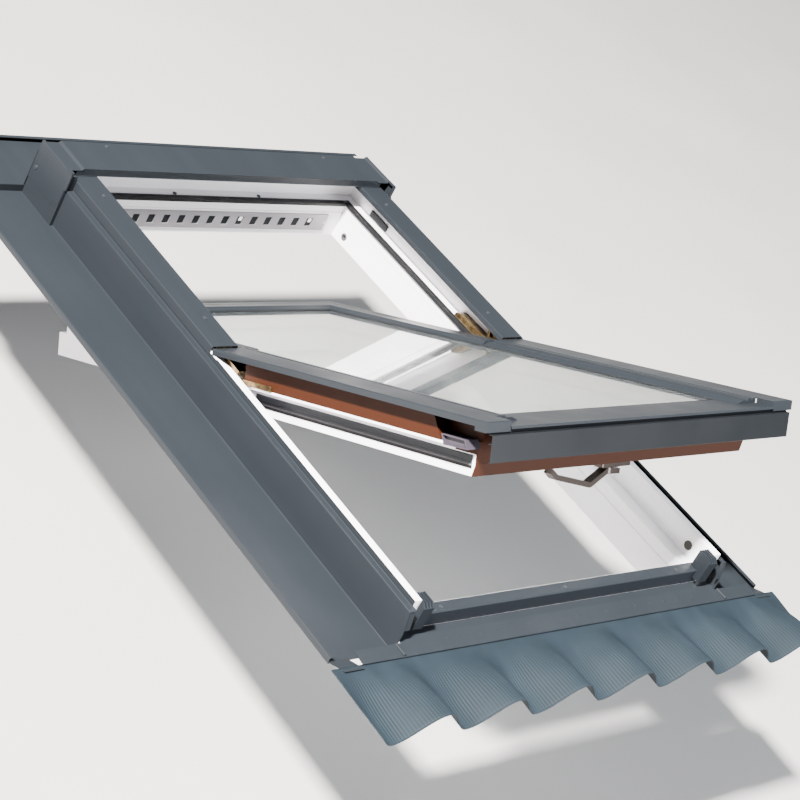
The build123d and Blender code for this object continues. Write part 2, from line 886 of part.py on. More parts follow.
with BuildPart() as sash_frame:
    # inner body: room-side ring, narrow above and 4.5 mm wider below the axis
    block(sash_level(sash_low), -sash_x, sash_x, wide_y, sash_top_y, stop_z - sash_low)
    block(sash_level(sash_low), -sash_low_x, sash_low_x, sash_bottom_y, wide_y, stop_z - sash_low)
    # outer body
    block(sash_level(stop_z), -sash_x, sash_x, wide_y, sash_rim_y, sash_shoulder - stop_z)
    block(
        sash_level(stop_z),
        -sash_low_x, sash_low_x, sash_bottom_y, wide_y,
        sill_cover_top + 4 - stop_z,
    )
    block(
        sash_level(sill_cover_top + 4),
        -sash_low_x, sash_low_x, recess_back, wide_y,
        sash_shoulder - sill_cover_top - 4,
    )
    block(
        sash_level(sill_cover_top + 4),
        -sash_low_x + brown_wall, sash_low_x - brown_wall, rail_front + brown_wall, recess_back,
        sash_shoulder - sill_cover_top - 4,
    )
    for side in (-1, 1):
        block(
            sash_level(flange_z),
            side * (sash_low_x - 1), side * sash_wide_x, brown_low_end - 4, wide_y,
            sash_flange_thickness,
        )
        profile(
            sash_across(side * sash_low_x),
            [
                (wide_y, flange_top),
                (brown_low_end + end_plate, flange_top),
                (brown_top_end + end_plate, sash_shoulder),
                (wide_y, sash_shoulder),
            ],
            side * (sash_wide_x - brown_wall - sash_low_x),
        )
        # lower corner, filled by the outer profile
        block(
            sash_level(recess_low),
            side * (sash_low_x - brown_wall), side * (sash_low_x + 1),
            sash_bottom_y - 1, brown_low_end - 4,
            sill_cover_top + 4 - recess_low,
            mode=Mode.SUBTRACT,
        )
    # slanted lower front edge
    profile(
        sash_across(-sash_low_x - 1),
        [
            (sash_bottom_y - 1, sash_low - 1),
            (sash_bottom_y + slant, sash_low - 1),
            (sash_bottom_y + slant, sash_low),
            (sash_bottom_y, sash_low + 18),
            (sash_bottom_y - 1, sash_low + 18),
        ],
        2 * sash_low_x + 2,
        mode=Mode.SUBTRACT,
    )
    # light opening and glass rebate
    block(
        sash_level(sash_low - 1),
        -opening_x, opening_x, opening_bottom, opening_top,
        sash_depth + 20,
        mode=Mode.SUBTRACT,
    )
    block(
        sash_level(seat_z),
        -glass_x - 3, glass_x + 3, glass_bottom - 3, glass_top + 3,
        sash_depth,
        mode=Mode.SUBTRACT,
    )
save("sash_frame", sash_frame)

# Outer profile of the lower half of the sash: side walls with slanted ends and a front corner
with BuildPart() as sash_outer_profile:
    for side in (-1, 1):
        profile(
            sash_across(side * (sash_wide_x - brown_wall)),
            [
                (wide_y, flange_top),
                (brown_low_end, flange_top),
                (brown_top_end, sash_shoulder),
                (wide_y, sash_shoulder),
            ],
            side * brown_wall,
        )
        profile(
            sash_across(side * sash_low_x),
            [
                (brown_low_end + end_plate, flange_top),
                (brown_low_end, flange_top),
                (brown_top_end, sash_shoulder),
                (brown_top_end + end_plate, sash_shoulder),
            ],
            side * (sash_wide_x - brown_wall - sash_low_x),
        )
        block(
            sash_level(sill_cover_top + 4),
            side * (sash_low_x - brown_wall), side * sash_low_x, rail_front, recess_back,
            sash_shoulder - sill_cover_top - 4,
        )
        block(
            sash_level(recess_low),
            side * (sash_low_x - brown_wall), side * sash_low_x, sash_bottom_y, brown_low_end - 4,
            sill_cover_top + 4 - recess_low,
        )
    block(
        sash_level(sill_cover_top + 4),
        -sash_low_x, sash_low_x, rail_front, rail_front + brown_wall,
        sash_shoulder - sill_cover_top - 4,
    )
save("sash_outer_profile", sash_outer_profile)

# Facing strip on the front of the bottom rail
facing = 3.0
with BuildPart() as rail_facing:
    profile(
        sash_across(-sash_low_x),
        [
            (sash_bottom_y, sill_cover_top + 4),
            (sash_bottom_y - facing, sill_cover_top + 4),
            (sash_bottom_y - facing, sash_low + 20),
            (sash_bottom_y + slant - facing, sash_low),
            (sash_bottom_y + slant, sash_low),
            (sash_bottom_y, sash_low + 18),
        ],
        2 * sash_low_x,
    )
save("rail_facing", rail_facing)

# Gasket round the sides of the lower half of the sash
band_low = cover_top - 88
band_high = cover_top - 66.5
band_rib = band_low + 3.6
with BuildPart() as sash_gasket:
    for side in (-1, 1):
        profile(
            sash_section(wide_y),
            [
                (side * sash_low_x, band_low),
                (side * (sash_low_x + 0.8), band_low),
                (side * (sash_low_x + 0.8), band_rib),
                (side * (sash_low_x + 2.4), band_rib + 0.4),
                (side * (sash_low_x + 2.4), band_rib + 2.6),
                (side * (sash_low_x + 1.2), band_rib + 3.4),
                (side * (sash_low_x + 1.2), band_rib + 7.6),
                (side * (sash_low_x + 0.8), band_rib + 8.0),
                (side * (sash_low_x + 0.8), band_rib + 8.8),
                (side * (sash_low_x + 1.4), band_rib + 9.2),
                (side * (sash_low_x + 1.8), band_high - 1),
                (side * sash_low_x, band_high),
            ],
            wide_y - sash_bottom_y - slant - 1,
        )
save("sash_gasket", sash_gasket)

# Insulating glass unit: outer pane, inner pane and the spacer between them
inner_pane_z = seat_z
spacer_z = inner_pane_z + pane
outer_pane_z = spacer_z + glass_space
spacer_width = 10.0
with BuildPart() as inner_pane:
    block(sash_level(inner_pane_z), -glass_x, glass_x, glass_bottom, glass_top, pane)
save("inner_pane", inner_pane)

with BuildPart() as outer_pane:
    block(sash_level(outer_pane_z), -glass_x, glass_x, glass_bottom, glass_top, pane)
save("outer_pane", outer_pane)

with BuildPart() as glass_spacer:
    ring(
        sash_level(spacer_z),
        (glass_x - 2, glass_bottom + 2, glass_top - 2),
        (
            glass_x - 2 - spacer_width,
            glass_bottom + 2 + spacer_width,
            glass_top - 2 - spacer_width,
        ),
        glass_space,
    )
save("glass_spacer", glass_spacer)

# Glazing gasket on the outer pane, along the inner edge of the cladding
glass_z = outer_pane_z + pane
bead = 1.6
bead_height = 1.4
with BuildPart() as glazing_gasket:
    ring(
        sash_level(glass_z),
        (opening_x + bead, opening_bottom - bead, opening_top + bead),
        (opening_x - bead, opening_bottom + bead, opening_top - bead),
        bead_height,
    )
save("glazing_gasket", glazing_gasket)

# Upper rim cover: cladding round the upper half of the sash
rim_x = sash_x - 5.5
rim_z = cover_top - rim_drop
rim_inner = opening_x + bead
rim_end_y = split_y + 1
with BuildPart() as upper_rim_cover:
    block(sash_level(glass_z), -rim_x, rim_x, rim_end_y, sash_rim_y, rim_z - glass_z)
    block(
        sash_level(glass_z - 1),
        -rim_inner, rim_inner, rim_end_y - 1, opening_top + bead,
        rim_z - glass_z + 2,
        mode=Mode.SUBTRACT,
    )
    slope_edges = upper_rim_cover.edges().filter_by(
        lambda e: abs(sash_plane.to_local_coords(e.center()).Z - rim_z) < 0.01
        and abs(sash_plane.to_local_coords(e.center()).X) < rim_inner + 0.01
        and sash_plane.to_local_coords(e.center()).Y > rim_end_y + 1
        and sash_plane.to_local_coords(e.center()).Y < opening_top + bead + 1
    )
    chamfer(slope_edges, length=7)
    ring(
        sash_level(rim_z - 2.5),
        (rim_x - 14, rim_end_y - 1, sash_rim_y - 14),
        (rim_x - 17, rim_end_y - 2, sash_rim_y - 17),
        3.5,
        mode=Mode.SUBTRACT,
    )
save("upper_rim_cover", upper_rim_cover)

# Lower side covers: sheet over the jamb with a stepped rim down to the glass
lower_inner = half_width - lower_inset
lower_end = -half_length + side_cover_end
lower_outer = half_width + lap_gap + sheet


def side_cover(side):
    """Lower side cover of the left (-1) or right (1) side of the sash."""
    with BuildPart() as cover:
        profile(
            sash_section(lower_start),
            [
                (side * rim_inner, glass_z),
                (side * (rim_inner + 0.6), glass_z + 3.0),
                (side * (lower_inner - 14), cover_top - rim_step + 1.6),
                (side * (lower_inner - 12), cover_top - rim_step + 2.4),
                (side * (lower_inner - 2.5), cover_top - rim_step + 2.8),
                (side * (lower_inner - 1.5), cover_top - rim_step + 0.6),
                (side * (lower_inner + 1.5), cover_top - rim_step + 0.6),
                (side * (lower_inner + 3), cover_top - 0.6),
                (side * (lower_inner + 11), cover_top - 0.2),
                (side * (lower_inner + 12.2), cover_top - 3),
                (side * (lower_inner + 15.2), cover_top - 3),
                (side * (lower_inner + 16.4), cover_top),
                (side * (lower_outer - 2.6), cover_top),
                (side * (lower_outer - 1.2), cover_top - 0.4),
                (side * (lower_outer - 0.4), cover_top - 1.2),
                (side * lower_outer, cover_top - 2.6),
                (side * lower_outer, cover_top - cap_height),
                (side * (lower_outer - sheet), cover_top - cap_height),
                (side * (lower_outer - sheet), cover_top - sheet - 1.8),
                (side * (lower_outer - sheet - 1.8), cover_top - sheet - 0.6),
                (side * (sash_x - 4), cover_top - sheet - 0.6),
                (side * (sash_x - 4), glass_z),
            ],
            lower_start - lower_end,
        )
    return cover


left_side_cover = side_cover(-1)
save("left_side_cover", left_side_cover)
right_side_cover = side_cover(1)
save("right_side_cover", right_side_cover)

# Bottom rim cover between the side covers and the corner caps
front_y = -half_length - front_reach
front_groove_z = cover_top - front_top_drop
bottom_rim_z = cover_top - 9
bottom_lip_y = front_y + 3
with BuildPart() as bottom_rim_cover:
    profile(
        sash_across(-rim_inner),
        [
            (opening_bottom - bead, glass_z),
            (opening_bottom - bead - 1, glass_z + 1.6),
            (opening_bottom - bead - 8, bottom_rim_z),
            (lower_end, bottom_rim_z),
            (lower_end, bottom_rim_z - sheet),
            (glass_bottom - 6, bottom_rim_z - sheet),
            (glass_bottom - 6, glass_z),
        ],
        2 * rim_inner,
    )
    profile(
        sash_across(-lower_outer + cap_width),
        [
            (lower_end, bottom_rim_z),
            (bottom_lip_y + 1, bottom_rim_z),
            (bottom_lip_y, bottom_rim_z - 1),
            (bottom_lip_y, front_groove_z + 7),
            (bottom_lip_y + sheet, front_groove_z + 7),
            (bottom_lip_y + sheet, bottom_rim_z - sheet),
            (lower_end, bottom_rim_z - sheet),
        ],
        2 * (lower_outer - cap_width),
    )
save("bottom_rim_cover", bottom_rim_cover)

# Front cover: deep folded face across the lower end of the sash
with BuildPart() as front_cover:
    folded_sheet(
        sash_across(-front_half_width),
        [
            (bottom_lip_y + 6, front_groove_z + 5.5),
            (bottom_lip_y + 4, front_groove_z),
            (front_y, front_groove_z),
            (front_y, cover_top - front_bottom_drop),
            (front_y + 5, cover_top - front_bottom_drop),
        ][::-1],
        2 * front_half_width,
        bend=0.7,
    )
    # shelf behind the face, resting on the outer profile
    block(
        sash_across(-sash_low_x),
        front_y + 6, rail_front, front_groove_z - 1.5, front_groove_z,
        2 * sash_low_x,
    )
    block(
        sash_across(-front_half_width),
        front_y + 0.5, front_y + 7.5, cover_top - 35, cover_top - 33.8,
        2 * front_half_width,
    )
save("front_cover", front_cover)


def corner_cap(side):
    """Moulded cap closing the corner between the side cover and the front cover."""
    with BuildPart() as cap:
        block(
            sash_level(cover_top - cap_height),
            side * (lower_outer - cap_width), side * lower_outer, lower_end - cap_length, lower_end,
            cap_height,
        )
        fillet(
            cap.edges().filter_by(
                lambda e: abs(sash_plane.to_local_coords(e.center()).Z - cover_top) < 0.01
                and abs(abs(sash_plane.to_local_coords(e.center()).X) - lower_outer + cap_width) > 1
                and sash_plane.to_local_coords(e.center()).Y < lower_end - 1
            ),
            radius=2.0,
        )
        # the front walls reach down to the front cover, clear of the frame
        block(
            sash_level(cover_top - cap_front_height),
            side * (lower_outer - cap_width), side * lower_outer,
            lower_end - cap_length, lower_end - cap_length + 23,
            cap_front_height - 5,
        )
        block(
            sash_level(cover_top - cap_front_height - 1),
            side * (lower_outer - cap_width + 2), side * (lower_outer - sheet),
            lower_end - cap_length + 2, lower_end - 2,
            cap_front_height - 1,
            mode=Mode.SUBTRACT,
        )
        block(
            sash_level(cover_top - cap_front_height - 1),
            side * (lower_outer - cap_width + 2), side * (lower_outer - sheet),
            lower_end - 3, lower_end + 1,
            cap_front_height - cover_rise + lap_gap + 1,
            mode=Mode.SUBTRACT,
        )
    return cap


left_corner_cap = corner_cap(-1)
save("left_corner_cap", left_corner_cap)
right_corner_cap = corner_cap(1)
save("right_corner_cap", right_corner_cap)


def sash_hinge(side):
    """Hinge plate on the sash side with an arm and a curved shoe for the arc groove."""
    start = side * sash_x
    with BuildPart() as hinge:
        block(
            sash_across(start),
            wide_y, pivot_y + hinge_disc, sash_shoulder - 36, sash_shoulder - 2,
            side * hinge_plate,
        )
        with BuildSketch(sash_across(start)) as arm:
            with Locations((pivot_y, pivot_z)):
                Circle(arc_radius + arc_width / 2)
                Circle(arc_radius - arc_width / 2, mode=Mode.SUBTRACT)
            with BuildLine():
                Polyline(
                    (pivot_y, pivot_z),
                    (
                        pivot_y + 80 * math.cos(math.radians(shoe_lead - shoe_angle / 2)),
                        pivot_z - 80 * math.sin(math.radians(shoe_lead - shoe_angle / 2)),
                    ),
                    (
                        pivot_y + 80 * math.cos(math.radians(shoe_lead + shoe_angle * 2)),
                        pivot_z - 80 * math.sin(math.radians(shoe_lead + shoe_angle * 2)),
                    ),
                    close=True,
                )
            make_face(mode=Mode.INTERSECT)
        extrude(arm.sketch, amount=side * hinge_plate)
        with BuildSketch(sash_across(start + side * hinge_plate)) as shoe:
            with Locations((pivot_y, pivot_z)):
                Circle(arc_radius + arc_width / 2)
                Circle(arc_radius - arc_width / 2, mode=Mode.SUBTRACT)
            with BuildLine():
                Polyline(
                    (pivot_y, pivot_z),
                    (
                        pivot_y + 80 * math.cos(math.radians(shoe_lead - shoe_angle / 2)),
                        pivot_z - 80 * math.sin(math.radians(shoe_lead - shoe_angle / 2)),
                    ),
                    (
                        pivot_y + 80 * math.cos(math.radians(shoe_lead + shoe_angle / 2)),
                        pivot_z - 80 * math.sin(math.radians(shoe_lead + shoe_angle / 2)),
                    ),
                    close=True,
                )
            make_face(mode=Mode.INTERSECT)
        extrude(shoe.sketch, amount=side * (inner_x + 1 + arc_depth - sash_x - hinge_plate))
        # tail of the hinge along the flange of the lower half
        block(
            sash_across(side * sash_wide_x),
            wide_y - 70, wide_y, flange_top, flange_top + 9,
            side * 3,
        )
        block(
            sash_level(flange_top),
            side * sash_x, side * (sash_wide_x + 3), wide_y, wide_y + 2.5,
            9,
        )
    return hinge


left_sash_hinge = sash_hinge(-1)
save("left_sash_hinge", left_sash_hinge)
right_sash_hinge = sash_hinge(1)
save("right_sash_hinge", right_sash_hinge)


def centring_wedge(side):
    """Hollow wedge beside the bottom rail; it runs up to the corner guide when the sash closes."""
    wedge_back = brown_low_end + 1
    wedge_front = max(inner_low + 1, guide_back + 2)
    with BuildPart() as wedge:
        profile(
            sash_across(side * sash_low_x),
            [
                (wedge_back, sill_cover_top + 8),
                (wedge_back - 7, ledge + 1),
                (wedge_front, ledge + 2.5),
                (wedge_front + 6, sill_cover_top + 8),
            ],
            side * (sash_wide_x - sash_low_x),
        )
        profile(
            sash_across(side * (sash_wide_x - 6)),
            [
                (wedge_back - 3, sill_cover_top + 6.6),
                (wedge_back - 8.5, ledge + 2.6),
                (wedge_front + 3, ledge + 4),
                (wedge_front + 8, sill_cover_top + 6.6),
            ],
            side * 7,
            mode=Mode.SUBTRACT,
        )
    return wedge


left_wedge = centring_wedge(-1)
save("left_wedge", left_wedge)
right_wedge = centring_wedge(1)
save("right_wedge", right_wedge)

# Handle base on the underside of the bottom rail
handle_y = sash_bottom_y + handle_setback
with BuildPart() as handle_base:
    with BuildSketch(sash_level(sash_low)) as base_outline:
        with Locations((base_shift, handle_y)):
            RectangleRounded(base_length, base_width, 4)
    extrude(base_outline.sketch, amount=-base_height)
    chamfer(
        handle_base.edges().filter_by(
            lambda e: sash_plane.to_local_coords(e.center()).Z < sash_low - base_height + 0.01
        ),
        length=1.5,
    )
save("handle_base", handle_base)

# Handle lever: hub, cranked grip and turned-up end
lever_z = sash_low - base_height - lap_gap
lever_sweep = handle_setback + sash_bottom_gap - lap_gap
lever_tip = math.sqrt(lever_sweep ** 2 - (lever_width / 2) ** 2)
with BuildPart() as handle_lever:
    discs(sash_level(lever_z), [(0, handle_y)], 9.5, -10)
    lever_plane = Plane(
        origin=sash_plane.from_local_coords((0, handle_y + lever_width / 2, 0)),
        x_dir=(1, 0, 0),
        z_dir=-sash_plane.y_dir,
    )
    with BuildSketch(lever_plane) as lever_outline:
        with BuildLine():
            FilletPolyline(
                (lever_tip, lever_z - 2.5),
                (-8, lever_z - 1.5),
                (-lever_low, lever_z - lever_drop + lever_thickness),
                (-lever_reach + 13, lever_z - 4),
                (-lever_reach, lever_z + 6),
                radius=4.5,
            )
            offset(amount=lever_thickness, side=Side.LEFT)
        make_face()
    extrude(lever_outline.sketch, amount=lever_width)
save("handle_lever", handle_lever)
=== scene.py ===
"""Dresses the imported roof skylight.

Gives every piece its finish, builds the pleated skirt and small trim, and sets up a plain stage.
"""

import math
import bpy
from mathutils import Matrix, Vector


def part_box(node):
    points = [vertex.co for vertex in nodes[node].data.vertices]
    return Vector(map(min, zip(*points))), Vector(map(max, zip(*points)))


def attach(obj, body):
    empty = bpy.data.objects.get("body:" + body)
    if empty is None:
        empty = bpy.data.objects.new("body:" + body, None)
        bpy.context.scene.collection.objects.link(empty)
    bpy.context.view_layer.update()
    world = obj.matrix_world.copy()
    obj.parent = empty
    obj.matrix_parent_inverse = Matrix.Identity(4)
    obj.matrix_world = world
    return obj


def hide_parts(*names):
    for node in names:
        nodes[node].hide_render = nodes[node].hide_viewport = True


bl_info = {
    "name": "Roof Skylight",
    "version": (1, 0, 0),
    "blender": (4, 5, 0),
    "location": "View3D > Sidebar > Skylight",
    "description": "Finishes and details for a centre-pivot roof skylight",
    "category": "Object",
}

import bmesh
import bpy
from bpy.props import FloatProperty, FloatVectorProperty, IntProperty, PointerProperty
from mathutils import Matrix, Vector, noise

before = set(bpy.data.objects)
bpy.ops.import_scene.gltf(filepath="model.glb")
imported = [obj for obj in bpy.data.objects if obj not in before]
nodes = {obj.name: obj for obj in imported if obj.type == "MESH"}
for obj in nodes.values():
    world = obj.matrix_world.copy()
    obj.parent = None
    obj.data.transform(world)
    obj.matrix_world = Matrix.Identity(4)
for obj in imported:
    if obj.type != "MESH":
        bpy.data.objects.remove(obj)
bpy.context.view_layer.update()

MM = 0.001
ACROSS = Vector((1.0, 0.0, 0.0))

# Camera in the window's own frame: place, line of sight and upward direction
CAMERA_PLACE = Vector((-2.72975, -2.111606, 1.904191))
CAMERA_SIGHT = Vector((0.70518, 0.525331, -0.476182))
CAMERA_UP = Vector((0.041629, 0.639762, 0.767444))
CAMERA_LENS = 96.764
SENSOR_WIDTH = 36.0

# Stage: floor, sky and two lights, with places in metres and powers in watts
FLOOR_HALF = 14
FLOOR_TONES = ((0.33, 0.327, 0.324), (0.36, 0.357, 0.353))
FLOOR_ROUGHNESS = 0.7
SKY_COLOUR = (0.80, 0.86, 0.95, 1.0)
SKY_STRENGTH = 0.25
KEY_PLACE = (-6.1, -1.05, 8.0)
KEY_SIZE = 0.7
KEY_COLOUR = (1.0, 0.965, 0.92)
FILL_PLACE = (0.9, -4.1, 1.3)
FILL_SIZE = 2.2
FILL_COLOUR = (0.95, 0.97, 1.0)
LIGHT_AIM = Vector((0, 0, 0.1))
VIEW_DEPTH = 60

# Skirt over the roof tiles, with the sizes of the CAD piece
SKIRT_LEVEL = 26.7 * MM
SKIRT_SHEET = 1.6 * MM
TILE_PITCH = 158.7 * MM
TILE_FALL_SHARE = 0.38
TILE_CREST = 53.0 * MM
TILE_TROUGH = 9.0 * MM
FIRST_CREST = -436.0 * MM
# How far the skirt has come down to the tiles, as factors of way squared, cubed and to the fourth
SKIRT_CURVE = (6.07, -8.73, 3.66)
DRESSING_DEPTH = 0.9 * MM
PLEAT_SWAY = 0.9 * MM
PLEAT_START = 0.05
PLEAT_FADE = 0.2

# Widths of the fine rounded edges
SCREW_EDGE = 0.2 * MM
SMALL_EDGE = 0.3 * MM
SHEET_EDGE = 0.35 * MM
MOULDED_EDGE = 0.5 * MM
WEDGE_EDGE = 0.6 * MM
BROWN_EDGE = 0.8 * MM
PROFILE_EDGE = 0.9 * MM
EDGE_ANGLE = math.radians(38)

# Front fold of the hood; its hem lists steps along y and z from the fold's front and foot
FOLD_FRONT = 522.1 * MM
FOLD_TOP = 119.6 * MM
FOLD_LOW = 110.6 * MM
FOLD_REACH = 384.0 * MM
FOLD_SHEET = 0.8 * MM
FOLD_HEM = [(0.0, 1.6), (-0.5, 0.8), (-0.1, 0.0), (0.9, 0.0), (1.2, 0.8), (0.8, 1.6)]

# Row of dimples in the front flashing; its rings give reach and rise as shares
DIMPLE_COUNT = 17
DIMPLE_START = -300.0 * MM
DIMPLE_PITCH = 39.2 * MM
DIMPLE_LINE = -611.5 * MM
DIMPLE_LEVEL = 32.6 * MM
DIMPLE_RADIUS = 2.6 * MM
DIMPLE_RISE = 1.0 * MM
DIMPLE_SIDES = 12
DIMPLE_RINGS = ((1.0, 0.0), (0.86, 0.45), (0.55, 0.85))

# White plugs in two slots of the vent strip, slots counted from the left
SLOT_PITCH = 37.2 * MM
PLUGGED_SLOTS = (10, 15)
MIDDLE_SLOT = 8
PLUG_START = -2.0 * MM
PLUG_END = 5.5 * MM

# Small sheets on the left side as low and high corners in millimetres; the right side mirrors them.
# The lap is an outline along y and z with its reach along x.
HOOD_END_SHEETS = [
    ((-410.4, 503.4, 12.2), (-403.2, 504.6, 96.0)),
    ((-410.6, 503.4, 12.2), (-409.8, 609.0, 60.0)),
    ((-409.8, 504.8, 90.0), (-392.5, 505.6, 119.0)),
]
FLASHING_RISERS = [((-541.0, 609.8, 11.2), (-404.0, 610.9, 25.8))]
FLASHING_LAP = ((-600.0, 12.1), (-600.0, 13.1), (-640.0, 29.4), (-640.0, 28.4))
LAP_REACH = (501.0, 541.0)

# Sash at rest: its turning axis, opening angle and the directions in it
AXIS_Y = 22.0 * MM
AXIS_Z = 110.0 * MM
OPEN_ANGLE = math.radians(29.0)
SASH_UP = Vector((0.0, math.cos(OPEN_ANGLE), -math.sin(OPEN_ANGLE)))
SASH_OUT = Vector((0.0, math.sin(OPEN_ANGLE), math.cos(OPEN_ANGLE)))
SEAL_BAND = (22.0 * MM, 43.5 * MM)


def on_sash(x, y, z):
    """Place at rest of a point of the closed sash."""
    return Vector((x, AXIS_Y, AXIS_Z)) + SASH_UP * (y - AXIS_Y) + SASH_OUT * (z - AXIS_Z)


def sash_level(z):
    """Distance along the sash's outward direction for a height in the closed sash."""
    return on_sash(0.0, AXIS_Y, z).dot(SASH_OUT)


def tile_wave(x):
    """Height between 0 and 1 of the tile surface at one x: a slow rise and a quick fall."""
    phase = ((x - FIRST_CREST) / TILE_PITCH) % 1.0
    if phase < TILE_FALL_SHARE:
        return (1 + math.cos(math.pi * phase / TILE_FALL_SHARE)) / 2
    return (1 - math.cos(math.pi * (phase - TILE_FALL_SHARE) / (1 - TILE_FALL_SHARE))) / 2


# Short calls for the nodes and meshes that the steps share


class Shader:
    """A material's node tree with short calls for the nodes that the finishes share."""

    def __init__(self, name):
        self.material = bpy.data.materials.new(name)
        self.material.use_nodes = True
        self.tree = self.material.node_tree
        self.surface = self.tree.nodes["Principled BSDF"]
        self.place = self.tree.nodes.new("ShaderNodeTexCoord").outputs["Object"]

    def add(self, kind, **values):
        node = self.tree.nodes.new(kind)
        for key, value in values.items():
            setattr(node, key, value)
        return node

    def link(self, source, target):
        self.tree.links.new(source, target)

    def stretched(self, scale):
        """Object coordinates multiplied by a scale for each axis."""
        mapping = self.add("ShaderNodeMapping")
        mapping.inputs["Scale"].default_value = scale
        self.link(self.place, mapping.inputs["Vector"])
        return mapping.outputs["Vector"]

    def noise(self, scale, detail=2.0, roughness=0.5, vector=None):
        node = self.add("ShaderNodeTexNoise")
        node.inputs["Scale"].default_value = scale
        node.inputs["Detail"].default_value = detail
        node.inputs["Roughness"].default_value = roughness
        self.link(vector or self.place, node.inputs["Vector"])
        return node.outputs["Fac"]

    def ramp(self, factor, stops):
        node = self.add("ShaderNodeValToRGB")
        elements = node.color_ramp.elements
        while len(elements) < len(stops):
            elements.new(0.5)
        for element, (position, colour) in zip(elements, stops):
            element.position = position
            element.color = colour if len(colour) == 4 else (*colour, 1.0)
        self.link(factor, node.inputs["Fac"])
        return node.outputs["Color"]

    def span(self, factor, low, high, from_low=0.0, from_high=1.0):
        node = self.add("ShaderNodeMapRange")
        node.inputs["From Min"].default_value = from_low
        node.inputs["From Max"].default_value = from_high
        node.inputs["To Min"].default_value = low
        node.inputs["To Max"].default_value = high
        self.link(factor, node.inputs["Value"])
        return node.outputs["Result"]

    def product(self, first, second):
        node = self.add("ShaderNodeMath", operation="MULTIPLY")
        self.link(first, node.inputs[0])
        self.link(second, node.inputs[1])
        return node.outputs["Value"]

    def mix(self, factor, first, second):
        node = self.add("ShaderNodeMix", data_type="RGBA")
        for socket, value in ((0, factor), (6, first), (7, second)):
            if isinstance(value, (int, float, tuple)):
                node.inputs[socket].default_value = value
            else:
                self.link(value, node.inputs[socket])
        return node.outputs[2]

    def bump(self, height, strength, distance):
        node = self.add("ShaderNodeBump")
        node.inputs["Strength"].default_value = strength
        node.inputs["Distance"].default_value = distance
        self.link(height, node.inputs["Height"])
        return node.outputs["Normal"]

    def set(self, **values):
        """Sockets of the surface by name, with underscores for spaces: a number, a colour or a link."""
        for key, value in values.items():
            socket = self.surface.inputs[key.replace("_", " ")]
            if isinstance(value, (int, float, tuple)):
                socket.default_value = value
            else:
                self.link(value, socket)
        return self.material


def shade(colour, factor):
    """A colour made lighter or darker."""
    return tuple(min(1.0, v * factor) for v in colour[:3]) + (1.0,)


def finish_nodes(names, material, bevel=0.0, segments=2):
    """Gives CAD nodes a material and, where asked, fine rounded edges."""
    for name in names:
        piece = nodes[name]
        piece.data.materials.clear()
        piece.data.materials.append(material)
        for polygon in piece.data.polygons:
            polygon.use_smooth = False
        if bevel > 0:
            soften(piece, bevel, segments)


def soften(piece, width, segments=2):
    """Fine rounded edges, kept as a modifier."""
    modifier = piece.modifiers.new("fine edges", "BEVEL")
    modifier.width = width
    modifier.segments = segments
    modifier.limit_method = "ANGLE"
    modifier.angle_limit = EDGE_ANGLE
    modifier.harden_normals = True
    modifier.use_clamp_overlap = True


def new_piece(name, builder, material, body):
    """A finished mesh from a bmesh, riding on a body."""
    mesh = bpy.data.meshes.new(name)
    builder.to_mesh(mesh)
    builder.free()
    piece = bpy.data.objects.new(name, mesh)
    bpy.context.scene.collection.objects.link(piece)
    mesh.materials.append(material)
    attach(piece, body)
    return piece


def prism(builder, outline, along, start, end):
    """Closed prism of an outline, swept along a direction from start to end."""
    near = [builder.verts.new(point + along * start) for point in outline]
    far = [builder.verts.new(point + along * end) for point in outline]
    count = len(outline)
    for index in range(count):
        after = (index + 1) % count
        builder.faces.new((near[index], near[after], far[after], far[index]))
    builder.faces.new(near[::-1])
    builder.faces.new(far)
    bmesh.ops.recalc_face_normals(builder, faces=builder.faces[:])


# Finishes, one function each


def coated_sheet(name, colour, roughness):
    """Coated aluminium: satin paint with a faint orange peel, soft dust and rain streaks."""
    s = Shader(name)
    cloud = s.noise(5.0, 4.0, 0.55)
    streak = s.noise(30.0, 2.0, 0.5, s.stretched((1.0, 0.03, 1.0)))
    dust = s.product(cloud, streak)
    tint = s.ramp(dust, [(0.14, shade(colour, 0.95)), (0.28, colour), (0.5, shade(colour, 1.08))])
    grain = s.noise(1900.0, 2.0, 0.6)
    rough = s.span(s.noise(12.0, 3.0), roughness - 0.03, roughness + 0.04, 0.3, 0.7)
    normal = s.bump(grain, 0.12, 0.00012)
    return s.set(Base_Color=tint, Roughness=rough, Specular_IOR_Level=0.16, Normal=normal)


def white_profile_finish(colour):
    """Extruded white plastic: faint draw lines along the profile and a thin film of dust."""
    s = Shader("white profile")
    cloud = s.noise(5.0, 5.0, 0.6)
    speck = s.noise(150.0, 3.0, 0.6)
    film = s.product(cloud, speck)
    tint = s.ramp(film, [(0.1, shade(colour, 0.94)), (0.3, colour), (0.6, shade(colour, 1.03))])
    lines = s.noise(1.0, 2.0, 0.5, s.stretched((700.0, 4.0, 700.0)))
    rough = s.span(speck, 0.3, 0.42, 0.3, 0.7)
    normal = s.bump(lines, 0.06, 0.0001)
    return s.set(Base_Color=tint, Roughness=rough, Specular_IOR_Level=0.5, Normal=normal)


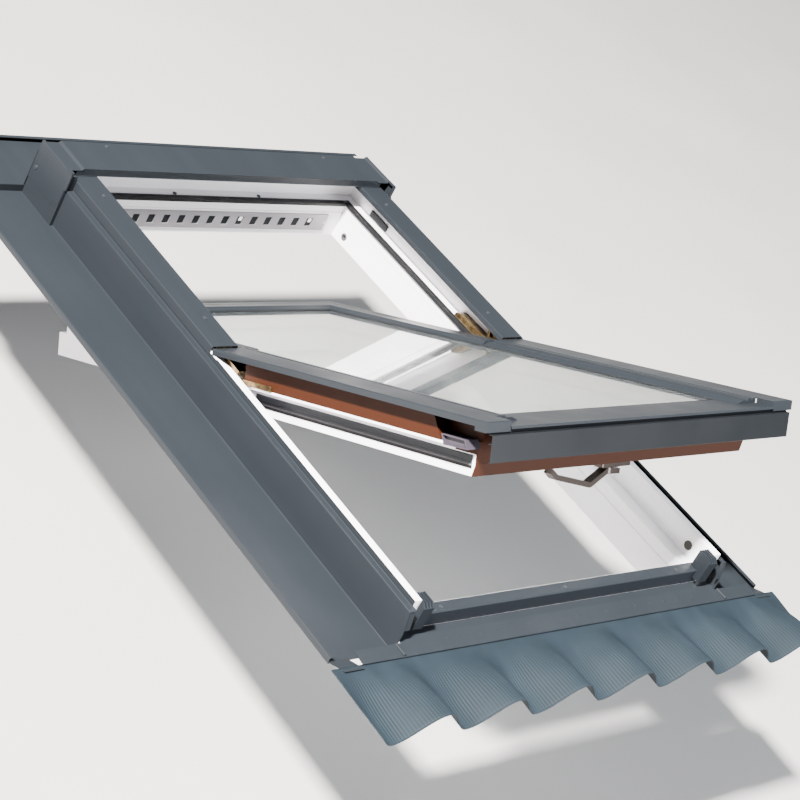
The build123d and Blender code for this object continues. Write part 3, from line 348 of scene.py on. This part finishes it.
def brown_profile_finish(colour):
    """Brown foil on the outer profile: fine lengthwise grain under a satin face."""
    s = Shader("brown profile")
    grain = s.noise(1.0, 5.0, 0.65, s.stretched((420.0, 9.0, 420.0)))
    cloud = s.noise(6.0, 3.0)
    base = s.ramp(grain, [(0.3, shade(colour, 0.9)), (0.55, colour), (0.75, shade(colour, 1.08))])
    tint = s.mix(s.span(cloud, 0.0, 0.2, 0.3, 0.7), base, shade(colour, 0.8))
    rough = s.span(grain, 0.34, 0.5, 0.3, 0.7)
    return s.set(
        Base_Color=tint, Roughness=rough, Specular_IOR_Level=0.07, Normal=s.bump(grain, 0.1, 0.0001)
    )


def rubber_finish(name, stops=None):
    """Extruded rubber with a dry skin; the stops paint bands by height on the open sash, such as painted
    shade and a painted highlight.
    """
    s = Shader(name)
    chalk = s.noise(70.0, 4.0, 0.55)
    tint = s.ramp(chalk, [(0.35, (0.0045, 0.0047, 0.0055)), (0.7, (0.0065, 0.0070, 0.0083))])
    if stops:
        height = s.add("ShaderNodeVectorMath", operation="DOT_PRODUCT")
        s.link(s.place, height.inputs[0])
        height.inputs[1].default_value = SASH_OUT
        level = s.span(height.outputs["Value"], 0.0, 1.0, *[sash_level(z) for z in SEAL_BAND])
        tint = s.mix(0.15, s.ramp(level, stops), tint)
    normal = s.bump(s.noise(1500.0, 2.0), 0.1, 0.0001)
    rough = s.span(chalk, 0.5, 0.6, 0.3, 0.7)
    return s.set(Base_Color=tint, Roughness=rough, Specular_IOR_Level=0.25, Normal=normal)


def plated_steel():
    """Zinc-plated steel with a cloudy spangle and fine scratches."""
    s = Shader("plated steel")
    spangle = s.add("ShaderNodeTexVoronoi")
    spangle.inputs["Scale"].default_value = 160.0
    s.link(s.place, spangle.inputs["Vector"])
    tone = s.ramp(spangle.outputs["Distance"], [(0.1, (0.42, 0.42, 0.41)), (0.7, (0.58, 0.58, 0.56))])
    scratch = s.noise(1.0, 3.0, 0.6, s.stretched((900.0, 30.0, 900.0)))
    rough = s.span(spangle.outputs["Distance"], 0.28, 0.45)
    return s.set(Base_Color=tone, Metallic=0.95, Roughness=rough, Normal=s.bump(scratch, 0.12, 0.00008))


def coated_screw():
    """Screw heads coated in the colour of the covers, with fine rubbed bright specks."""
    s = Shader("coated screw")
    rub = s.noise(900.0, 3.0, 0.6)
    tone = s.ramp(
        rub, [(0.4, (0.022, 0.026, 0.031)), (0.62, (0.055, 0.060, 0.068)), (0.75, (0.2, 0.2, 0.21))]
    )
    return s.set(Base_Color=tone, Metallic=0.5, Roughness=0.36, Normal=s.bump(rub, 0.1, 0.00006))


def brass_zinc():
    """Yellow-chromated zinc of the hinges, with a cloudy iridescent cast."""
    s = Shader("yellow zinc")
    cloud = s.noise(55.0, 4.0, 0.6)
    tone = s.ramp(
        cloud,
        [(0.32, (0.055, 0.034, 0.016)), (0.5, (0.16, 0.105, 0.045)), (0.68, (0.30, 0.23, 0.12))],
    )
    wear = s.noise(800.0, 3.0, 0.6)
    rough = s.span(wear, 0.22, 0.4, 0.3, 0.7)
    return s.set(Base_Color=tone, Metallic=0.9, Roughness=rough, Normal=s.bump(wear, 0.12, 0.00008))


def pale_metal():
    """Bead-blasted and anodised aluminium of the ventilation strip."""
    s = Shader("pale anodised metal")
    cloud = s.noise(14.0, 4.0)
    tone = s.ramp(cloud, [(0.3, (0.26, 0.245, 0.265)), (0.7, (0.31, 0.295, 0.315))])
    normal = s.bump(s.noise(2600.0, 2.0), 0.18, 0.00006)
    return s.set(Base_Color=tone, Metallic=0.55, Roughness=0.42, Normal=normal)


def moulded_plastic(name, colour, roughness=0.5):
    """Moulded plastic with a fine spark-eroded texture."""
    s = Shader(name)
    cells = s.noise(1300.0, 3.0, 0.6)
    cloud = s.noise(20.0, 3.0)
    tone = s.ramp(cloud, [(0.3, shade(colour, 0.9)), (0.7, shade(colour, 1.1))])
    rough = s.span(cells, roughness - 0.06, roughness + 0.08, 0.3, 0.7)
    return s.set(
        Base_Color=tone, Roughness=rough, Specular_IOR_Level=0.22, Normal=s.bump(cells, 0.2, 0.0001)
    )


def handle_finish():
    """Satin bronze-grey metal of the handle, brushed along the grip."""
    s = Shader("satin handle metal")
    brush = s.noise(1.0, 3.0, 0.5, s.stretched((60.0, 2200.0, 2200.0)))
    tone = s.ramp(brush, [(0.3, (0.054, 0.042, 0.036)), (0.7, (0.072, 0.057, 0.049))])
    rough = s.span(brush, 0.3, 0.36, 0.3, 0.7)
    return s.set(Base_Color=tone, Metallic=0.8, Roughness=rough, Normal=s.bump(brush, 0.03, 0.00004))


def glass_finish(name, tint):
    """Clear float glass with a thin, uneven film of dust."""
    s = Shader(name)
    film = s.noise(9.0, 5.0, 0.6)
    spots = s.noise(420.0, 2.0, 0.5)
    rough = s.span(s.product(film, spots), 0.0, 0.05, 0.2, 0.5)
    return s.set(
        Base_Color=tint, Roughness=rough, IOR=1.45, Transmission_Weight=1.0, Specular_IOR_Level=0.5
    )


def spacer_finish():
    """Rolled aluminium spacer with rows of fine pores."""
    s = Shader("glazing spacer")
    pores = s.noise(700.0, 2.0)
    tone = s.ramp(pores, [(0.35, (0.30, 0.30, 0.31)), (0.6, (0.5, 0.5, 0.51))])
    return s.set(Base_Color=tone, Metallic=0.9, Roughness=0.35, Normal=s.bump(pores, 0.2, 0.0001))


def skirt_finish(colour):
    """Painted soft sheet of the skirt, cloudy in tone, with chalky run-off."""
    s = Shader("pleated skirt sheet")
    cloud = s.noise(9.0, 5.0, 0.6)
    run = s.noise(30.0, 4.0, 0.6, s.stretched((1.0, 0.12, 1.0)))
    tint = s.ramp(
        s.product(cloud, run),
        [(0.14, shade(colour, 0.86)), (0.28, colour), (0.45, shade(colour, 1.2))],
    )
    dents = s.noise(260.0, 3.0, 0.6)
    rough = s.span(run, 0.58, 0.7, 0.3, 0.7)
    return s.set(
        Base_Color=tint, Roughness=rough, Specular_IOR_Level=0.1, Normal=s.bump(dents, 0.15, 0.0003)
    )


# Settings that the panel shows


def colour_setting(name, description, colour):
    return FloatVectorProperty(
        name=name, description=description, subtype="COLOR", size=4, min=0, max=1, default=(*colour, 1.0)
    )


class SkylightFinishes(bpy.types.PropertyGroup):
    """Colours of the window's finishes."""

    cladding: colour_setting(
        "Cladding", "Colour of the coated metal covers", (0.0102, 0.0123, 0.0150)
    )
    skirt: colour_setting(
        "Skirt", "Colour of the pleated skirt", (0.0074, 0.0118, 0.0158)
    )
    profile: colour_setting(
        "Profile", "Colour of the white frame and sash profiles", (0.860, 0.840, 0.865)
    )
    outer_profile: colour_setting(
        "Outer profile", "Colour of the brown outer profile of the sash", (0.0270, 0.0078, 0.0032)
    )
    moulding: colour_setting(
        "Moulding", "Colour of the corner guides and clips", (0.0065, 0.0085, 0.0110)
    )


class SkylightSkirt(bpy.types.PropertyGroup):
    """Sizes of the skirt that is dressed over the roof tiles."""

    pleat_pitch: FloatProperty(
        name="Pleat pitch",
        description="Distance from pleat to pleat",
        default=5.1 * MM,
        unit="LENGTH",
    )
    pleat_depth: FloatProperty(
        name="Pleat depth",
        description="Height of a pleat above the sheet",
        default=0.66 * MM,
        unit="LENGTH",
    )
    pleat_steps: IntProperty(name="Steps", description="Mesh columns in one pleat", default=6, min=4)
    rows: IntProperty(name="Rows", description="Mesh rows down the slope", default=26, min=6)


class SkylightStage(bpy.types.PropertyGroup):
    """Floor and lights."""

    floor_drop: FloatProperty(
        name="Floor drop",
        description="Distance from the frame's fixing plane down to the floor",
        default=0.44,
        unit="LENGTH",
    )
    key_power: FloatProperty(
        name="Key light",
        description="Power of the key light",
        default=14000.0,
        unit="POWER",
    )
    fill_power: FloatProperty(
        name="Fill light",
        description="Power of the fill light",
        default=500.0,
        unit="POWER",
    )


# Steps that dress the window

CLADDING = [
    "left_upper_cover", "right_upper_cover", "top_hood", "left_side_flashing", "right_side_flashing",
    "top_flashing", "bottom_cover", "front_flashing", "upper_rim_cover", "left_side_cover",
    "right_side_cover", "bottom_rim_cover", "left_corner_cap", "right_corner_cap",
]


class SKYLIGHT_OT_cladding(bpy.types.Operator):
    """Satin coated metal on all covers and flashings"""

    bl_idname = "skylight.cladding"
    bl_label = "Finish cladding"

    def execute(self, context):
        colour = tuple(context.scene.skylight_finishes.cladding)
        finish_nodes(CLADDING, coated_sheet("coated cladding", colour, 0.38), bevel=SHEET_EDGE)
        # The front cover faces down the slope; its coat is the cladding colour darkened as painted
        # shade, not a different paint.
        front = coated_sheet("front cover with painted shade", shade(colour, 0.42), 0.42)
        finish_nodes(["front_cover"], front, bevel=SHEET_EDGE)
        return {"FINISHED"}


class SKYLIGHT_OT_profiles(bpy.types.Operator):
    """White plastic of frame and sash, and the brown outer profile"""

    bl_idname = "skylight.profiles"
    bl_label = "Finish profiles"

    def execute(self, context):
        colours = context.scene.skylight_finishes
        white = white_profile_finish(tuple(colours.profile))
        brown = brown_profile_finish(tuple(colours.outer_profile))
        finish_nodes(["outer_frame", "sash_frame"], white, bevel=PROFILE_EDGE)
        finish_nodes(["sash_outer_profile", "rail_facing"], brown, bevel=BROWN_EDGE)
        return {"FINISHED"}


class SKYLIGHT_OT_glazing(bpy.types.Operator):
    """Insulating glass and its spacer"""

    bl_idname = "skylight.glazing"
    bl_label = "Finish glazing"

    def execute(self, context):
        finish_nodes(["outer_pane"], glass_finish("outer glass", (0.93, 0.97, 0.96, 1.0)))
        finish_nodes(["inner_pane"], glass_finish("inner glass", (0.94, 0.98, 0.97, 1.0)))
        finish_nodes(["glass_spacer"], spacer_finish())
        return {"FINISHED"}


class SKYLIGHT_OT_seals(bpy.types.Operator):
    """Rubber seals, the side seals in bands of three tones: their own slate rubber, painted groove shade
    and a painted rib highlight
    """

    bl_idname = "skylight.seals"
    bl_label = "Finish seals"

    def execute(self, context):
        finish_nodes(["frame_gasket", "glazing_gasket"], rubber_finish("black rubber"))
        # Slate is the rubber's own tone; the black band is painted shade in the groove below the rib,
        # and the light band is a painted highlight on the rib.
        slate = (0.0180, 0.0200, 0.0245)
        black = (0.0012, 0.0012, 0.0014)
        light = (0.120, 0.114, 0.122)
        bands = [
            (0.0, black), (0.22, black), (0.26, light), (0.33, light), (0.37, slate), (1.0, slate),
        ]
        finish_nodes(["sash_gasket"], rubber_finish("ribbed side seal", bands))
        return {"FINISHED"}


class SKYLIGHT_OT_fittings(bpy.types.Operator):
    """Metal and plastic fittings: hinges, brackets, screws, strip, guides, clips and handle"""

    bl_idname = "skylight.fittings"
    bl_label = "Finish fittings"

    def execute(self, context):
        colours = context.scene.skylight_finishes
        finish_nodes(
            ["mounting_brackets", "bracket_screws", "vent_strip_screws"],
            plated_steel(),
            bevel=SCREW_EDGE,
        )
        finish_nodes(
            ["left_frame_hinge", "right_frame_hinge", "left_sash_hinge", "right_sash_hinge"],
            brass_zinc(),
            bevel=MOULDED_EDGE,
        )
        finish_nodes(
            ["upper_cover_screws", "hood_screws", "bottom_cover_screws", "head_screws"],
            coated_screw(),
            bevel=SMALL_EDGE,
        )
        finish_nodes(["vent_strip"], pale_metal(), bevel=SCREW_EDGE)
        # Corner guides, clips, posts and spacers are dark plastic; the vent shutter takes the same dark
        # colour as painted shade inside the vent slots.
        dark = moulded_plastic("dark moulding and slot shade", tuple(colours.moulding))
        finish_nodes(
            ["left_corner_guide", "right_corner_guide", "cover_clips", "hood_posts", "flashing_spacers",
             "vent_shutter"],
            dark,
            bevel=MOULDED_EDGE,
        )
        # The plug's dark grey is partly its own colour and partly painted shade from the sash's shadow
        # on the jamb.
        plug = moulded_plastic("grey plug with painted shade", (0.030, 0.027, 0.022, 1.0))
        finish_nodes(["fixing_plugs"], plug, bevel=SMALL_EDGE)
        socket = moulded_plastic("pale socket", (0.060, 0.055, 0.060, 1.0))
        finish_nodes(["bolt_sockets"], socket, bevel=SMALL_EDGE)
        # The wedges are pale plastic; their colour is darkened to a lilac grey as painted shade.
        finish_nodes(
            ["left_wedge", "right_wedge"],
            moulded_plastic("pale moulding with painted shade", (0.030, 0.025, 0.034, 1.0), 0.45),
            bevel=WEDGE_EDGE,
        )
        handle = ["handle_base", "handle_lever"]
        finish_nodes(handle, handle_finish(), bevel=PROFILE_EDGE, segments=3)
        return {"FINISHED"}


class SKYLIGHT_OT_skirt(bpy.types.Operator):
    """Skirt with fine pleats, dressed over the waves of the tiles"""

    bl_idname = "skylight.skirt"
    bl_label = "Build skirt"

    def execute(self, context):
        settings = context.scene.skylight_skirt
        low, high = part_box("pleated_skirt")
        length = high.y - low.y
        columns = round((high.x - low.x) / settings.pleat_pitch) * settings.pleat_steps
        builder = bmesh.new()
        faces = []
        for thickness in (0.0, SKIRT_SHEET):
            grid = []
            for row in range(settings.rows + 1):
                way = (row / settings.rows) ** 1.1
                y = high.y - way * length
                line = []
                for column in range(columns + 1):
                    x = low.x + (high.x - low.x) * column / columns
                    z = self.height(x, way) + self.pleat(settings, x, way, low.x)
                    line.append(builder.verts.new((x, y, z - thickness)))
                grid.append(line)
            faces.append(grid)
        upper, lower = faces
        for row in range(settings.rows):
            for column in range(columns):
                a, b = upper[row][column], upper[row][column + 1]
                c, d = upper[row + 1][column + 1], upper[row + 1][column]
                builder.faces.new((d, c, b, a))
                a, b = lower[row][column], lower[row][column + 1]
                c, d = lower[row + 1][column + 1], lower[row + 1][column]
                builder.faces.new((a, b, c, d))
        self.close_edge(builder, upper[0], lower[0])
        self.close_edge(builder, upper[-1][::-1], lower[-1][::-1])
        self.close_edge(builder, [line[0] for line in upper][::-1], [line[0] for line in lower][::-1])
        self.close_edge(builder, [line[-1] for line in upper], [line[-1] for line in lower])
        for face in builder.faces:
            face.smooth = True
        colours = context.scene.skylight_finishes
        skirt = new_piece(
            "dressed_skirt", builder, skirt_finish(tuple(colours.skirt)), "frame"
        )
        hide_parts("pleated_skirt")
        return {"FINISHED"}

    def height(self, x, way):
        """Height of the skirt's upper face: level along the strip, on the tiles at the lower edge."""
        first, second, third = SKIRT_CURVE
        share = way * way * (first + second * way + third * way * way)
        full = TILE_TROUGH + (TILE_CREST - TILE_TROUGH) * tile_wave(x)
        unevenness = noise.noise(Vector((x * 14.0, way * 2.6, 0.0)))
        dressing = DRESSING_DEPTH * unevenness * min(1.0, way * 5.0)
        return SKIRT_LEVEL * (1.0 - share) + full * share + dressing

    def pleat(self, settings, x, way, start):
        """Height of the pleats, which are beaten flat along the strip and on top of the waves."""
        patches = noise.noise(Vector((x * 26.0, 0.0, 5.0)))
        flat_until = PLEAT_START + 0.15 * tile_wave(x) ** 1.5 + 0.09 * patches
        strength = min(1.0, max(0.0, (way - flat_until) / PLEAT_FADE))
        strength *= 0.75 + 0.55 * noise.noise(Vector((x * 16.0, way * 5.0, 9.0)))
        sway = PLEAT_SWAY * noise.noise(Vector((x * 9.0, way * 1.7, 3.0)))
        turn = 2.0 * math.pi * (x - start + sway) / settings.pleat_pitch
        return -settings.pleat_depth * strength * (0.5 + 0.5 * math.cos(turn))

    def close_edge(self, builder, upper, lower):
        """Rim between the upper and the lower face along one edge."""
        for a, b, c, d in zip(upper, upper[1:], lower[1:], lower):
            builder.faces.new((a, b, c, d))


class SKYLIGHT_OT_trim(bpy.types.Operator):
    """Front fold of the hood, dimples of the front flashing and plugs behind the vent slots"""

    bl_idname = "skylight.trim"
    bl_label = "Build trim"

    def execute(self, context):
        cladding = nodes["top_hood"].data.materials[0]
        white = nodes["outer_frame"].data.materials[0]
        self.hood_fold(cladding)
        self.hood_ends(cladding)
        self.flashing_laps(cladding)
        self.dimples(cladding)
        self.slot_plugs(white)
        return {"FINISHED"}

    def hood_fold(self, material):
        """Fold that hangs from the hood's front edge, with a rolled hem at its foot."""
        hem = [(FOLD_FRONT + y * MM, FOLD_LOW + z * MM) for y, z in FOLD_HEM]
        outline = [(FOLD_FRONT, FOLD_TOP), *hem, (FOLD_FRONT + FOLD_SHEET, FOLD_TOP)]
        builder = bmesh.new()
        points = [Vector((0.0, y, z)) for y, z in outline]
        prism(builder, points, ACROSS, -FOLD_REACH, FOLD_REACH)
        new_piece("hood_front_fold", builder, material, "frame")

    def small_sheets(self, builder, sheets):
        """Flat sheets on the left side and their mirror images on the right."""
        for low, high in sheets:
            outline = [
                Vector((0.0, y, z)) * MM
                for y, z in ((low[1], low[2]), (high[1], low[2]), (high[1], high[2]), (low[1], high[2]))
            ]
            prism(builder, outline, ACROSS, low[0] * MM, high[0] * MM)
            prism(builder, outline, ACROSS, -high[0] * MM, -low[0] * MM)

    def hood_ends(self, material):
        """Feet and inward edges of the hood's end faces, down to the side flashings."""
        builder = bmesh.new()
        self.small_sheets(builder, HOOD_END_SHEETS)
        new_piece("hood_end_sheets", builder, material, "frame")

    def flashing_laps(self, material):
        """Sheets that join the side flashings to the top flashing and to the skirt."""
        builder = bmesh.new()
        self.small_sheets(builder, FLASHING_RISERS)
        outline = [Vector((0.0, y, z)) * MM for y, z in FLASHING_LAP]
        inner, outer = (reach * MM for reach in LAP_REACH)
        prism(builder, outline, ACROSS, -outer, -inner)
        prism(builder, outline, ACROSS, inner, outer)
        new_piece("flashing_laps", builder, material, "frame")

    def dimples(self, material):
        """Row of shallow dimples pressed along the front flashing."""
        builder = bmesh.new()
        for index in range(DIMPLE_COUNT):
            centre = Vector((DIMPLE_START + index * DIMPLE_PITCH, DIMPLE_LINE, DIMPLE_LEVEL))
            circles = []
            for reach, rise in DIMPLE_RINGS:
                circle = []
                for step in range(DIMPLE_SIDES):
                    turn = 2.0 * math.pi * step / DIMPLE_SIDES
                    offset = Vector((math.cos(turn), math.sin(turn), 0.0)) * reach * DIMPLE_RADIUS
                    height = Vector((0, 0, rise * DIMPLE_RISE))
                    circle.append(builder.verts.new(centre + offset + height))
                circles.append(circle)
            tip = builder.verts.new(centre + Vector((0, 0, DIMPLE_RISE)))
            for outer, inner in zip(circles, circles[1:]):
                for step in range(DIMPLE_SIDES):
                    after = (step + 1) % DIMPLE_SIDES
                    builder.faces.new((outer[step], outer[after], inner[after], inner[step]))
            for step in range(DIMPLE_SIDES):
                after = (step + 1) % DIMPLE_SIDES
                builder.faces.new((circles[-1][step], circles[-1][after], tip))
            builder.faces.new(circles[0][::-1])
        for face in builder.faces:
            face.smooth = len(face.verts) < DIMPLE_SIDES
        new_piece("flashing_dimples", builder, material, "frame")

    def slot_plugs(self, material):
        """Two white plugs of the insect mesh that show in the slots of the vent strip."""
        low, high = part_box("vent_strip")
        builder = bmesh.new()
        middle = (low.z + high.z) / 2
        for slot in PLUGGED_SLOTS:
            x = (slot - MIDDLE_SLOT) * SLOT_PITCH
            outline = [
                Vector((0.0, low.y + 0.6 * MM, middle - 1.0 * MM)),
                Vector((0.0, low.y + 0.2 * MM, middle + 7.0 * MM)),
                Vector((0.0, high.y + 0.5 * MM, middle + 9.0 * MM)),
                Vector((0.0, high.y + 0.5 * MM, middle - 1.0 * MM)),
            ]
            prism(builder, outline, ACROSS, x + PLUG_START, x + PLUG_END)
        plugs = new_piece("slot_plugs", builder, material, "frame")
        soften(plugs, WEDGE_EDGE)


class SKYLIGHT_OT_stage(bpy.types.Operator):
    """Plain floor, soft lights and the camera"""

    bl_idname = "skylight.stage"
    bl_label = "Build stage"

    def execute(self, context):
        scene = context.scene
        settings = scene.skylight_stage
        builder = bmesh.new()
        bmesh.ops.create_grid(builder, x_segments=8, y_segments=8, size=FLOOR_HALF)
        mesh = bpy.data.meshes.new("floor")
        builder.to_mesh(mesh)
        builder.free()
        floor = bpy.data.objects.new("floor", mesh)
        floor.location.z = -settings.floor_drop
        scene.collection.objects.link(floor)
        s = Shader("pale floor")
        cloud = s.noise(1.5, 3.0)
        tone = s.ramp(cloud, list(zip((0.3, 0.7), FLOOR_TONES)))
        mesh.materials.append(s.set(Base_Color=tone, Roughness=FLOOR_ROUGHNESS))

        world = bpy.data.worlds.new("soft sky")
        world.use_nodes = True
        sky = world.node_tree.nodes["Background"]
        sky.inputs["Color"].default_value = SKY_COLOUR
        sky.inputs["Strength"].default_value = SKY_STRENGTH
        scene.world = world

        self.area_light(scene, "key light", KEY_PLACE, KEY_SIZE, settings.key_power, KEY_COLOUR)
        self.area_light(scene, "fill light", FILL_PLACE, FILL_SIZE, settings.fill_power, FILL_COLOUR)

        camera_data = bpy.data.cameras.new("camera")
        camera_data.lens = CAMERA_LENS
        camera_data.sensor_width = SENSOR_WIDTH
        camera_data.sensor_fit = "HORIZONTAL"
        camera_data.clip_end = VIEW_DEPTH
        camera = bpy.data.objects.new("camera", camera_data)
        sight = CAMERA_SIGHT.normalized()
        up = (CAMERA_UP - sight * CAMERA_UP.dot(sight)).normalized()
        right = sight.cross(up)
        turn = Matrix((right, up, -sight)).transposed()
        camera.matrix_world = Matrix.Translation(CAMERA_PLACE) @ turn.to_4x4()
        scene.collection.objects.link(camera)
        scene.camera = camera
        return {"FINISHED"}

    def area_light(self, scene, name, place, size, power, colour):
        """Square soft light aimed at the middle of the window."""
        data = bpy.data.lights.new(name, "AREA")
        data.shape = "SQUARE"
        data.size = size
        data.energy = power
        data.color = colour
        light = bpy.data.objects.new(name, data)
        light.location = place
        aim = LIGHT_AIM - Vector(place)
        light.rotation_euler = aim.to_track_quat("-Z", "Y").to_euler()
        scene.collection.objects.link(light)


class SKYLIGHT_PT_panel(bpy.types.Panel):
    """Lists the steps that dress the window"""

    bl_idname = "SKYLIGHT_PT_panel"
    bl_label = "Roof skylight"
    bl_space_type = "VIEW_3D"
    bl_region_type = "UI"
    bl_category = "Skylight"

    def draw(self, context):
        for group in GROUPS:
            settings = getattr(context.scene, group)
            for key in settings.__annotations__:
                self.layout.prop(settings, key)
        for step in STEPS:
            self.layout.operator(step.bl_idname)


STEPS = [
    SKYLIGHT_OT_cladding,
    SKYLIGHT_OT_profiles,
    SKYLIGHT_OT_glazing,
    SKYLIGHT_OT_seals,
    SKYLIGHT_OT_fittings,
    SKYLIGHT_OT_skirt,
    SKYLIGHT_OT_trim,
    SKYLIGHT_OT_stage,
]
GROUPS = {
    "skylight_finishes": SkylightFinishes,
    "skylight_skirt": SkylightSkirt,
    "skylight_stage": SkylightStage,
}


def register():
    for cls in (*GROUPS.values(), *STEPS, SKYLIGHT_PT_panel):
        bpy.utils.register_class(cls)
    for name, group in GROUPS.items():
        setattr(bpy.types.Scene, name, PointerProperty(type=group))


def unregister():
    for name in GROUPS:
        delattr(bpy.types.Scene, name)
    for cls in reversed((*GROUPS.values(), *STEPS, SKYLIGHT_PT_panel)):
        bpy.utils.unregister_class(cls)


def main():
    register()
    for step in STEPS:
        group, name = step.bl_idname.split(".")
        getattr(getattr(bpy.ops, group), name)()
    bpy.context.view_layer.update()


if __name__ == "__main__":
    main()
